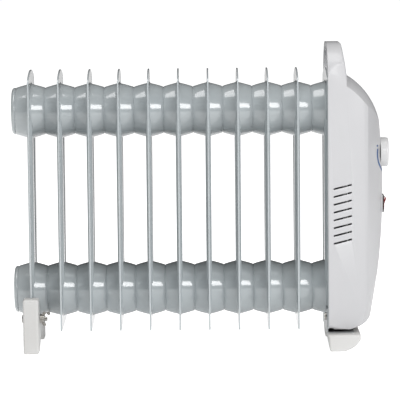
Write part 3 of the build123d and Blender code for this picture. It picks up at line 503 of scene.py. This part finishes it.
class Effects:
    """The shared effects, each built once when it is first asked for."""

    made: dict[str, bpy.types.NodeTree] = {}

    @classmethod
    def get(cls, name: str) -> bpy.types.NodeTree:
        """Find an effect, building it the first time.

        Args:
            name: the effect's name, which is also its method's.

        Returns:
            The effect's node group.
        """
        if name not in cls.made:
            cls.made[name] = getattr(cls, name)()
        return cls.made[name]

    @staticmethod
    def relief() -> bpy.types.NodeTree:
        """Build fine relief at two sizes, which a stretch can draw out along an axis.

        Returns:
            The effect's node group.
        """
        inputs = {"Place": None, "Stretch": None, "Size": 600.0, "Coarse": 0.4}
        wiring, given, out = effect("relief", inputs, ["Height"])
        drawn = wiring.add("VectorMath", operation="MULTIPLY")
        wiring.feed(drawn.inputs[0], given["Place"])
        wiring.feed(drawn.inputs[1], given["Stretch"])
        fine = wiring.noise(drawn.outputs[0], given["Size"], detail=3, rough=0.6)
        wide_scale = wiring.sum("MULTIPLY", given["Size"], 0.22)
        wide = wiring.noise(drawn.outputs[0], wide_scale)
        wiring.feed(out.inputs[0], wiring.sum("ADD", fine, wiring.sum("MULTIPLY", wide, given["Coarse"])))
        return wiring.tree

    @staticmethod
    def mottle() -> bpy.types.NodeTree:
        """Build a slow drift between two colours over hand-sized patches.

        Returns:
            The effect's node group.
        """
        inputs = {"Place": None, "Patch": 14.0, "First": (1.0,) * 3, "Second": (1.0,) * 3}
        wiring, given, out = effect("mottle", inputs, ["Colour", "Share"])
        slow = wiring.noise(given["Place"], given["Patch"], detail=4, rough=0.55)
        share = wiring.span(slow, low=0.32, high=0.68)
        wiring.feed(out.inputs[0], wiring.blend(share, given["First"], given["Second"]))
        wiring.feed(out.inputs[1], share)
        return wiring.tree

    @staticmethod
    def dust() -> bpy.types.NodeTree:
        """Build dust that has settled on what faces up, thicker in some places.

        Returns:
            The effect's node group.
        """
        wiring, given, out = effect("dust", {"Place": None, "Amount": 0.3}, ["Share"])
        facing = wiring.add("NewGeometry")
        split = wiring.add("SeparateXYZ")
        wiring.feed(split.inputs[0], facing.outputs["Normal"])
        up = wiring.span(split.outputs[2], low=0.35, high=1.0)
        drift = wiring.noise(given["Place"], 38.0, detail=5, rough=0.7)
        patch = wiring.span(drift, low=0.35, high=0.75, to_low=0.35)
        share = wiring.sum("MULTIPLY", up, patch)
        wiring.feed(out.inputs[0], wiring.sum("MULTIPLY", share, given["Amount"]))
        return wiring.tree

    @staticmethod
    def scuff() -> bpy.types.NodeTree:
        """Build sparse hairline scuffs in two directions, as handling leaves them.

        Returns:
            The effect's node group.
        """
        wiring, given, out = effect("scuff", {"Place": None, "Amount": 0.5}, ["Share"])
        lines = []
        for stretch, scale in (((1.0, 1.0, 0.06), 210.0), ((0.07, 0.8, 1.0), 170.0)):
            drawn = wiring.add("VectorMath", operation="MULTIPLY")
            wiring.feed(drawn.inputs[0], given["Place"])
            drawn.inputs[1].default_value = stretch
            streak = wiring.span(wiring.noise(drawn.outputs[0], scale), low=0.655, high=0.70)
            patch = wiring.span(wiring.noise(given["Place"], 11.0), low=0.46, high=0.62)
            lines.append(wiring.sum("MULTIPLY", streak, patch))
        share = wiring.sum("MAXIMUM", *lines)
        wiring.feed(out.inputs[0], wiring.sum("MULTIPLY", share, given["Amount"]))
        return wiring.tree

    @staticmethod
    def edge() -> bpy.types.NodeTree:
        """Build how much a spot stands out as an edge, broken up a little. Finishes lighten their edges by
        it: on the radiator paint as a painted highlight along the rims, on the fasteners as wear.

        Returns:
            The effect's node group.
        """
        wiring, given, out = effect("edge", {"Place": None, "Amount": 0.5}, ["Share"])
        shape = wiring.add("NewGeometry")
        sharp = wiring.span(shape.outputs["Pointiness"], low=0.53, high=0.62)
        patch = wiring.span(wiring.noise(given["Place"], 60.0, detail=3), low=0.3, high=0.7, to_low=0.5)
        share = wiring.sum("MULTIPLY", sharp, patch)
        wiring.feed(out.inputs[0], wiring.sum("MULTIPLY", share, given["Amount"]))
        return wiring.tree


# ---------------------------------------------------------------- finishes
DUST = linear(188, 184, 176)
SCUFF_ROUGHENS = 0.18
DUST_ROUGHENS = 0.35
RELIEF_STRENGTH = 0.7
COAT_ROUGHNESS = 0.06


class Grain(Enum):
    """How a surface was made: the draw of its relief along X, Y and Z, its size and its depth."""

    SPRAYED = ((1, 1, 1), 240.0, 0.02 * MM)
    POLISHED = SPRAYED
    MOULDED = ((1, 1, 1), 900.0, 0.08 * MM)
    DRAWN = ((0.04, 1, 1), 1400.0, 0.05 * MM)
    ROLLED = ((1, 1, 0.05), 1100.0, 0.05 * MM)
    CAST = ((1, 1, 1), 620.0, 0.12 * MM)
    FELTED = ((1, 1, 1), 1500.0, 0.16 * MM)


@dataclass(frozen=True)
class Finish:
    """One finish, from its colours to its wear and its painted rim highlight. The numbers are shares from 0
    to 1 unless named.
    """

    slot: str
    colour: Colour
    drift: Colour
    grain: Grain
    rough: float
    spread: float = 0.08
    metallic: float = 0.0
    coat: float = 0.0
    dust: float = 0.15
    scuff: float = 0.3
    rim_highlight_and_wear: float = 0.0
    rim_highlight_and_worn_colour: Colour = (0.6, 0.6, 0.6)
    patch: float = 14.0

    def make(self) -> bpy.types.Material:
        """Build the material.

        Returns:
            The material, with its colour, roughness and relief driven by the shared effects.
        """
        material = bpy.data.materials.new(self.slot)
        material.use_nodes = True
        wiring = Wiring(material.node_tree)
        place = wiring.add("TexCoord").outputs["Object"]
        shader = wiring.add("BsdfPrincipled")
        stretch, size, depth = self.grain.value
        relief = wiring.group(Effects.get("relief"), Place=place, Stretch=tuple(stretch), Size=size)
        mottle = wiring.group(
            Effects.get("mottle"), Place=place, Patch=self.patch, First=self.colour, Second=self.drift
        )
        dust = wiring.group(Effects.get("dust"), Place=place, Amount=self.dust).outputs[0]
        scuff = wiring.group(Effects.get("scuff"), Place=place, Amount=self.scuff).outputs[0]
        colour = mottle.outputs[0]
        # Lighter edges: a painted highlight along the rims of the radiator paint, and wear on the
        # fasteners.
        if self.rim_highlight_and_wear:
            edge = wiring.group(Effects.get("edge"), Place=place, Amount=self.rim_highlight_and_wear).outputs[0]
            colour = wiring.blend(edge, colour, self.rim_highlight_and_worn_colour)
        colour = wiring.blend(dust, colour, DUST)
        half = self.spread / 2
        rough = wiring.span(mottle.outputs[1], 0, 1, self.rough - half, self.rough + half)
        rough = wiring.sum("ADD", rough, wiring.sum("MULTIPLY", scuff, SCUFF_ROUGHENS))
        rough = wiring.sum("ADD", rough, wiring.sum("MULTIPLY", dust, DUST_ROUGHENS))
        bump = wiring.add("Bump")
        bump.inputs["Strength"].default_value = RELIEF_STRENGTH
        bump.inputs["Distance"].default_value = depth
        wiring.feed(bump.inputs["Height"], relief.outputs[0])
        wiring.feed(shader.inputs["Base Color"], colour)
        wiring.feed(shader.inputs["Roughness"], rough)
        wiring.feed(shader.inputs["Normal"], bump.outputs[0])
        shader.inputs["Metallic"].default_value = self.metallic
        shader.inputs["Coat Weight"].default_value = self.coat
        shader.inputs["Coat Roughness"].default_value = COAT_ROUGHNESS
        self.special(shader)
        out = wiring.add("OutputMaterial")
        wiring.feed(out.inputs["Surface"], shader.outputs[0])
        material.diffuse_color = (*self.colour, 1)
        return material

    def special(self, shader: bpy.types.Node) -> None:
        """Set what only one kind of finish has, which on a plain one is nothing."""


@dataclass(frozen=True)
class Clear(Finish):
    """A finish that light passes through, such as glass or oil."""

    passing: float = 0.9
    bending: float = 1.48

    def special(self, shader: bpy.types.Node) -> None:
        """Let light through the surface."""
        shader.inputs["Transmission Weight"].default_value = self.passing
        shader.inputs["IOR"].default_value = self.bending


class Finishes:
    """All the finishes, one for each slot of the record, each made once."""

    made: dict[str, bpy.types.Material] = {}
    chart: tuple[Finish, ...] = (
        # Its lighter edge colour is a painted highlight along the bright fin rims.
        Finish("radiator_paint", linear(164, 171, 174), linear(170, 176, 178), Grain.SPRAYED, 0.2,
               coat=0.9, dust=0.12, scuff=0.35, rim_highlight_and_wear=0.35, rim_highlight_and_worn_colour=linear(214, 218, 219), patch=9.0),
        Finish("filler_steel", linear(176, 176, 172), linear(150, 149, 144), Grain.CAST, 0.34,
               metallic=1.0),
        Finish("element_steel", linear(128, 126, 120), linear(98, 92, 84), Grain.DRAWN, 0.38,
               metallic=1.0),
        Finish("bead_ceramic", linear(228, 224, 212), linear(216, 209, 193), Grain.CAST, 0.55),
        Finish("gasket_rubber", linear(90, 72, 66), linear(74, 60, 56), Grain.FELTED, 0.8),
        Finish("housing_plastic", linear(184, 184, 186), linear(180, 180, 182), Grain.MOULDED, 0.36,
               coat=0.12, dust=0.10, scuff=0.35, patch=7.0),
        Finish("foot_plastic", linear(198, 198, 197), linear(192, 191, 189), Grain.MOULDED, 0.42,
               dust=0.18, scuff=0.6, patch=10.0),
        Finish("bush_rubber", linear(214, 213, 208), linear(204, 202, 196), Grain.FELTED, 0.62),
        Finish("plate_steel", linear(168, 171, 172), linear(150, 153, 155), Grain.ROLLED, 0.32,
               metallic=1.0, patch=40.0),
        Finish("fastener_steel", linear(152, 150, 146), linear(120, 116, 110), Grain.CAST, 0.3,
               metallic=1.0, scuff=0.6, rim_highlight_and_wear=0.5, rim_highlight_and_worn_colour=linear(205, 204, 200), patch=80.0),
        Finish("bakelite", linear(58, 44, 36), linear(40, 31, 27), Grain.CAST, 0.4, patch=90.0),
        Finish("spindle_steel", linear(176, 176, 172), linear(160, 159, 154), Grain.DRAWN, 0.28,
               metallic=1.0),
        Finish("bimetal", linear(165, 143, 110), linear(140, 126, 106), Grain.ROLLED, 0.33,
               metallic=1.0),
        Finish("knob_plastic", linear(196, 196, 197), linear(191, 191, 191), Grain.MOULDED, 0.34,
               coat=0.1, dust=0.08, scuff=0.5),
        Finish("scale_print", linear(24, 66, 116), linear(32, 76, 126), Grain.POLISHED, 0.42,
               scuff=0.8, patch=60.0),
        Finish("switch_black", linear(20, 20, 21), linear(27, 27, 28), Grain.MOULDED, 0.38, dust=0.12),
        Finish("rocker_red", linear(112, 18, 20), linear(92, 14, 16), Grain.POLISHED, 0.16,
               coat=0.5, dust=0.05, patch=50.0),
        Finish("tab_brass", linear(190, 156, 88), linear(160, 126, 66), Grain.ROLLED, 0.3,
               metallic=1.0, patch=70.0),
        Finish("block_plastic", linear(220, 216, 200), linear(208, 203, 186), Grain.MOULDED, 0.5),
        Finish("wire_brown", linear(104, 62, 36), linear(92, 55, 33), Grain.POLISHED, 0.42),
        Finish("wire_red", linear(172, 38, 30), linear(152, 34, 28), Grain.POLISHED, 0.42),
        Finish("wire_blue", linear(42, 92, 164), linear(38, 82, 148), Grain.POLISHED, 0.42),
        Finish("wire_green", linear(96, 156, 50), linear(110, 150, 44), Grain.POLISHED, 0.42),
        Clear("oil", linear(212, 176, 92), linear(204, 162, 76), Grain.POLISHED, 0.05, 0.02,
              dust=0.0, scuff=0.0, passing=0.85, bending=1.47),
        Clear("lamp_glass", linear(250, 226, 204), linear(250, 214, 186), Grain.POLISHED, 0.06, 0.02,
              dust=0.0, scuff=0.0, passing=0.95, bending=1.5),
    )

    @classmethod
    def of(cls, slot: str) -> bpy.types.Material:
        """Find a slot's material, making it the first time.

        Args:
            slot: the record's material slot.

        Returns:
            The material.
        """
        if slot not in cls.made:
            cls.made[slot] = next(f for f in cls.chart if f.slot == slot).make()
        return cls.made[slot]


# ---------------------------------------------------------------- the radiator
SIDEWAYS = 0.9  # a face whose normal is this far along X faces along the headers


@dataclass
class FinPress:
    """The pressed and welded fins, and the dished caps that close their headers.

    Pairs in a curve are a distance in millimetres and a share of the height or radius there.
    """

    body: str
    count: int = 11
    slot: str = "radiator_paint"
    rim_half: float = 0.95 * MM
    web_half: float = 0.6 * MM
    rim_width: float = 1.7 * MM
    rim_slope: float = 0.7 * MM
    crown: float = 10.0 * MM
    corner: float = 4.0 * MM
    rim_ease: float = 0.4 * MM
    channel_y: float = 20.0 * MM
    channel_width: float = 25.0 * MM
    channel_half: float = 3.2 * MM
    channel_root: float = 0.54 * MM
    channel_slope: float = 2.7 * MM
    channel_corner: float = 6.25 * MM
    channel_ease: float = 1.4 * MM
    seam: float = 0.5 * MM
    gap: float = 0.02 * MM
    lip: float = 0.35 * MM
    lip_drop: float = 0.25 * MM
    swell: float = 4.75 * MM
    straight: float = 0.8
    cup_end: float = 0.9 * MM
    cup_rings: int = 9
    cup_root: float = 9.4
    flare: float = 2.2 * MM
    flare_curve: tuple = ((1.5, 0.05), (1.2, 0.16), (0.95, 0.34), (0.75, 0.6), (0.55, 1.0))
    dish_curve: tuple = ((0.0, 0.2), (0.05, 0.5), (0.25, 0.72))
    dish_end: float = 0.3 * MM
    dish_bend: float = 4.2 * MM
    dish_rings: int = 8
    cap_edge: float = 1.4 * MM
    columns: int = 14
    sides: int = 72
    shade: float = 40
    headers: list[float] = field(default_factory=list)

    def build(self) -> None:
        """Press the first fin, copy it down the headers, and cap the far ends."""
        low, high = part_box("fin_01")
        middle = (low.x + high.x) / 2
        caps = ("lower_end_cap", "upper_end_cap")
        self.headers = [sum(corner.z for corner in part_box(cap)) / 2 for cap in caps]
        parts = [self.panel(middle, low, high)]
        parts += [self.channel(middle, side * self.channel_y) for side in (-1, 1)]
        parts += [self.cup(middle, z, high.x - middle) for z in self.headers]
        first = join("pressed_fin_01", parts)
        smooth(first, self.shade)
        fins = [first]
        for number in range(2, self.count + 1):
            near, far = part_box(f"fin_{number:02d}")
            offset = Vector(((near.x + far.x) / 2 - middle, 0, 0))
            fins.append(copied(first, f"pressed_fin_{number:02d}", offset))
        for number, fin in enumerate(fins, 1):
            fit_out(fin, self.body, self.slot, f"fin_{number:02d}")
        for name in reversed(caps):
            self.cap(name)

    def panel(self, x: float, low: Vector, high: Vector) -> bpy.types.Object:
        """Press the flat web with its arched top, rounded corners and raised welded rim.

        Args:
            x: place of the fin along the headers.
            low: the fin's lowest corner.
            high: the fin's highest corner.

        Returns:
            The web.
        """
        near = Vector((x - self.rim_half, low.y, low.z))
        far = Vector((x + self.rim_half, high.y, high.z))
        piece = block("web", near, far)
        half = high.y
        thinner = (self.web_half / self.rim_half, 1, 1)
        with edit(piece):
            for step in range(1, self.columns):
                y = half * (2 * step / self.columns - 1)
                bpy.ops.mesh.select_all(action="SELECT")
                bpy.ops.mesh.bisect(plane_co=(x, y, 0), plane_no=(0, 1, 0))
            for step in range(self.columns + 1):
                y = half * (2 * step / self.columns - 1)
                pick_points(piece, lambda p: p.z > high.z - self.seam and abs(p.y - y) < self.seam)
                bpy.ops.transform.translate(value=(0, 0, -self.crown * (y / half) ** 2))
            pick_edges(
                piece,
                lambda a, b: abs(a.y - b.y) < MM and abs(a.z - b.z) < MM and half - abs(a.y) < MM,
            )
            bpy.ops.mesh.bevel(offset=self.corner, segments=5, affect="EDGES")
            pick_faces(piece, lambda middle, normal: abs(normal.x) > SIDEWAYS)
            bpy.ops.mesh.inset(thickness=self.rim_width)
            bpy.ops.mesh.inset(thickness=self.rim_slope)
            bpy.ops.transform.resize(value=thinner, center_override=(x, 0, 0))
        soften(piece, self.rim_ease, segments=2, angle=25)
        return piece

    def channel(self, x: float, y: float) -> bpy.types.Object:
        """Raise one oil channel on both faces of the web.

        Args:
            x: place of the fin along the headers.
            y: place of the channel across the fin.

        Returns:
            The channel.
        """
        half = self.channel_width / 2
        low = Vector((x - self.channel_root, y - half, self.headers[0]))
        high = Vector((x + self.channel_root, y + half, self.headers[1]))
        piece = block("channel", low, high)
        thicker = (self.channel_half / self.channel_root, 1, 1)
        with edit(piece):
            pick_edges(piece, lambda a, b: abs(a.x - b.x) > self.web_half)
            bpy.ops.mesh.bevel(offset=self.channel_corner, segments=6, affect="EDGES")
            pick_faces(piece, lambda middle, normal: abs(normal.x) > SIDEWAYS)
            bpy.ops.mesh.inset(thickness=self.channel_slope)
            bpy.ops.transform.resize(value=thicker, center_override=(x, y, 0))
        soften(piece, self.channel_ease, segments=3, angle=20)
        return piece

    def cup(self, x: float, z: float, reach: float) -> bpy.types.Object:
        """Draw both header cups of a fin, flared into the web and rolled in at the weld.

        Args:
            x: place of the fin along the headers.
            z: height of the header's axis.
            reach: distance from the fin to the weld with the next one.

        Returns:
            The pair of cups.
        """
        low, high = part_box("upper_end_cap")
        neck = (high.z - low.z) / 2
        belly = neck + self.swell
        half = [(reach - self.gap, neck - self.seam), (reach - self.lip, neck - self.lip_drop)]
        for step in range(self.cup_rings):
            out = (reach - self.cup_end) * (1 - step / self.cup_root)
            share = out / reach
            drop = self.straight * share + (1 - self.straight) * share**2
            half.append((out, belly - self.swell * drop))
        half += [(out * MM, belly + self.flare * share) for out, share in self.flare_curve]
        steps = [(-out, radius) for out, radius in half] + [(out, radius) for out, radius in reversed(half)]
        return turned("cup", Vector((x, 0, z)), steps, self.sides)

    def cap(self, name: str) -> None:
        """Press one dished end cap with its rolled edge.

        Args:
            name: the CAD node of the cap.
        """
        low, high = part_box(name)
        radius = (high.z - low.z) / 2
        length = high.x - low.x
        centre = Vector((low.x, 0, (low.z + high.z) / 2))
        steps = [(out * MM, radius * share) for out, share in self.dish_curve]
        bend = self.dish_bend
        for step in range(1, self.dish_rings + 1):
            angle = math.pi / 2 * step / self.dish_rings
            out = bend * (1 - math.cos(angle))
            along = self.dish_end + out * (length - self.cap_edge) / bend
            steps.append((along, radius - bend + bend * math.sin(angle)))
        steps += [(length - self.lip, radius - self.lip_drop), (length - self.gap, radius - self.seam)]
        piece = turned("dished_" + name, centre, steps, self.sides)
        smooth(piece, self.shade)
        fit_out(piece, self.body, self.slot, name)


# ---------------------------------------------------------------- mouldings and small pieces
@dataclass(frozen=True)
class Moulding:
    """A moulded piece that keeps its CAD shape. Its sharp edges are eased where an ease is given."""

    node: str
    name: str
    body: str
    slot: str
    ease: float = 0.0
    angle: float = 30
    shade: float = 32

    def build(self) -> None:
        """Copy the node, ease its edges if they are to be eased, and fit it out."""
        piece = from_node(self.node, self.name)
        if self.ease:
            soften(piece, self.ease, angle=self.angle)
        smooth(piece, self.shade)
        fit_out(piece, self.body, self.slot, self.node)


def dress_cad_nodes() -> None:
    """Give every CAD node its slot's finish, and log the slot of each one that is still shown."""
    slots = {row["node"]: row["material_slot"] for row in frame["record"]["subparts"]}
    for name, node in frame["nodes"].items():
        node.data.materials.clear()
        node.data.materials.append(Finishes.of(slots[name]))
        if not node.hide_render:
            log.info("%s: CAD shape, in %s", name, slots[name])


# ---------------------------------------------------------------- studio
@dataclass(frozen=True)
class SoftBox:
    """One soft box: where it hangs, the point it faces, its width and height, and its watts."""

    name: str
    place: tuple[float, float, float]
    aim: tuple[float, float, float]
    size: tuple[float, float]
    power: float

    def hang(self) -> None:
        """Hang the light and turn it to its aim."""
        data = bpy.data.lights.new(self.name, "AREA")
        data.shape = "RECTANGLE"
        data.size, data.size_y = self.size
        data.energy = self.power
        light = bpy.data.objects.new(self.name, data)
        light.location = self.place
        line = Vector(self.aim) - Vector(self.place)
        light.rotation_euler = line.to_track_quat("-Z", "Y").to_euler()
        bpy.context.scene.collection.objects.link(light)


@dataclass(frozen=True)
class Studio:
    """Pale floor, soft light and the camera.

    The floor and the surround each have one brightness that the camera sees and another that
    lights the heater; the surround has a third that its gloss mirrors.
    """

    aim: tuple[float, float, float] = (-0.001, 0.0, 0.1738)
    distance: float = 3.1
    height: float = 0.33
    lens: float = 235.3
    sensor: float = 36.0
    far_limit: float = 50.0
    roll: float = -0.55
    surround: float = 0.36
    mirrored: float = 0.05
    bounce: float = 0.35
    paper: float = 0.8
    backdrop: float = 1.02
    floor_radius: float = 9.0
    floor_sides: int = 96
    floor_grey: float = 0.93
    floor_rough: float = 0.9
    boxes: tuple[SoftBox, ...] = (
        SoftBox("key", (1.25, -2.0, 1.05), (0, 0, 0.2), (1.8, 0.8), 36),
        SoftBox("top", (-0.3, -0.5, 2.2), (0, 0, 0.1), (1.6, 1.2), 26),
    )

    def set_camera(self) -> None:
        """Place the camera first, since the rest of the scene is judged through it."""
        data = bpy.data.cameras.new("camera")
        data.lens = self.lens
        data.sensor_width = self.sensor
        data.clip_end = self.far_limit
        camera = bpy.data.objects.new("camera", data)
        camera.location = Vector(self.aim) + Vector((0, -self.distance, self.height))
        line = Vector(self.aim) - camera.location
        roll = Matrix.Rotation(math.radians(self.roll), 3, "Z")
        turn = line.to_track_quat("-Z", "Y").to_matrix() @ roll
        camera.rotation_euler = turn.to_euler()
        bpy.context.scene.collection.objects.link(camera)
        bpy.context.scene.camera = camera

    def lay_floor(self) -> None:
        """Lay a round sheet of paper under the heater."""
        clear_selection()
        bpy.ops.mesh.primitive_circle_add(
            vertices=self.floor_sides, radius=self.floor_radius, fill_type="NGON", location=(0, 0, 0)
        )
        floor = bpy.context.active_object
        floor.name = "floor"
        sheet = bpy.data.materials.new("paper")
        sheet.use_nodes = True
        shader = sheet.node_tree.nodes["Principled BSDF"]
        shader.inputs["Base Color"].default_value = (*(self.floor_grey,) * 3, 1)
        shader.inputs["Roughness"].default_value = self.floor_rough
        shader.inputs["Emission Color"].default_value = (1, 1, 1, 1)
        wiring = Wiring(sheet.node_tree, keep=True)
        seen = wiring.add("LightPath").outputs["Is Camera Ray"]
        wiring.feed(shader.inputs["Emission Strength"], wiring.span(seen, 0, 1, self.bounce, self.paper))
        floor.data.materials.append(sheet)

    def set_surround(self) -> None:
        """Surround the heater with an even pale light."""
        world = bpy.data.worlds.new("surround")
        world.use_nodes = True
        wiring = Wiring(world.node_tree)
        sheet = wiring.add("Background")
        ray = wiring.add("LightPath").outputs
        unseen = wiring.span(ray["Is Glossy Ray"], 0, 1, self.surround, self.mirrored)
        strength = wiring.span(ray["Is Camera Ray"], 0, 1, unseen, self.backdrop)
        wiring.feed(sheet.inputs["Strength"], strength)
        wiring.feed(wiring.add("OutputWorld").inputs["Surface"], sheet.outputs[0])
        sheet.inputs["Color"].default_value = (1, 1, 1, 1)
        bpy.context.scene.world = world

    def build(self) -> None:
        """Lay the floor, set the surround and hang the lights."""
        self.lay_floor()
        self.set_surround()
        for box in self.boxes:
            box.hang()
        bpy.context.scene.view_settings.view_transform = "Standard"


def main() -> None:
    """Build the studio and then the heater, sub-assembly by sub-assembly."""
    logging.basicConfig(level=logging.INFO, format="%(name)s: %(message)s")
    clear_selection()
    studio = Studio()
    studio.set_camera()
    FinPress("heater").build()
    for moulding in (
        Moulding("control_cover", "housing_shell", "heater", "housing_plastic",
                 ease=0.5 * MM, angle=38, shade=30),
        Moulding("rear_foot", "foot_far_end", "heater", "foot_plastic"),
        Moulding("front_foot", "foot_under_housing", "heater", "foot_plastic"),
        Moulding("temperature_knob", "knob_cap", "knob", "knob_plastic"),
        Moulding("switch_housing", "switch_bezel", "heater", "switch_black"),
        Moulding("rocker_button", "rocker_paddle", "rocker", "rocker_red", ease=0.35 * MM),
    ):
        moulding.build()
    dress_cad_nodes()
    studio.build()


if __name__ == "__main__":
    main()
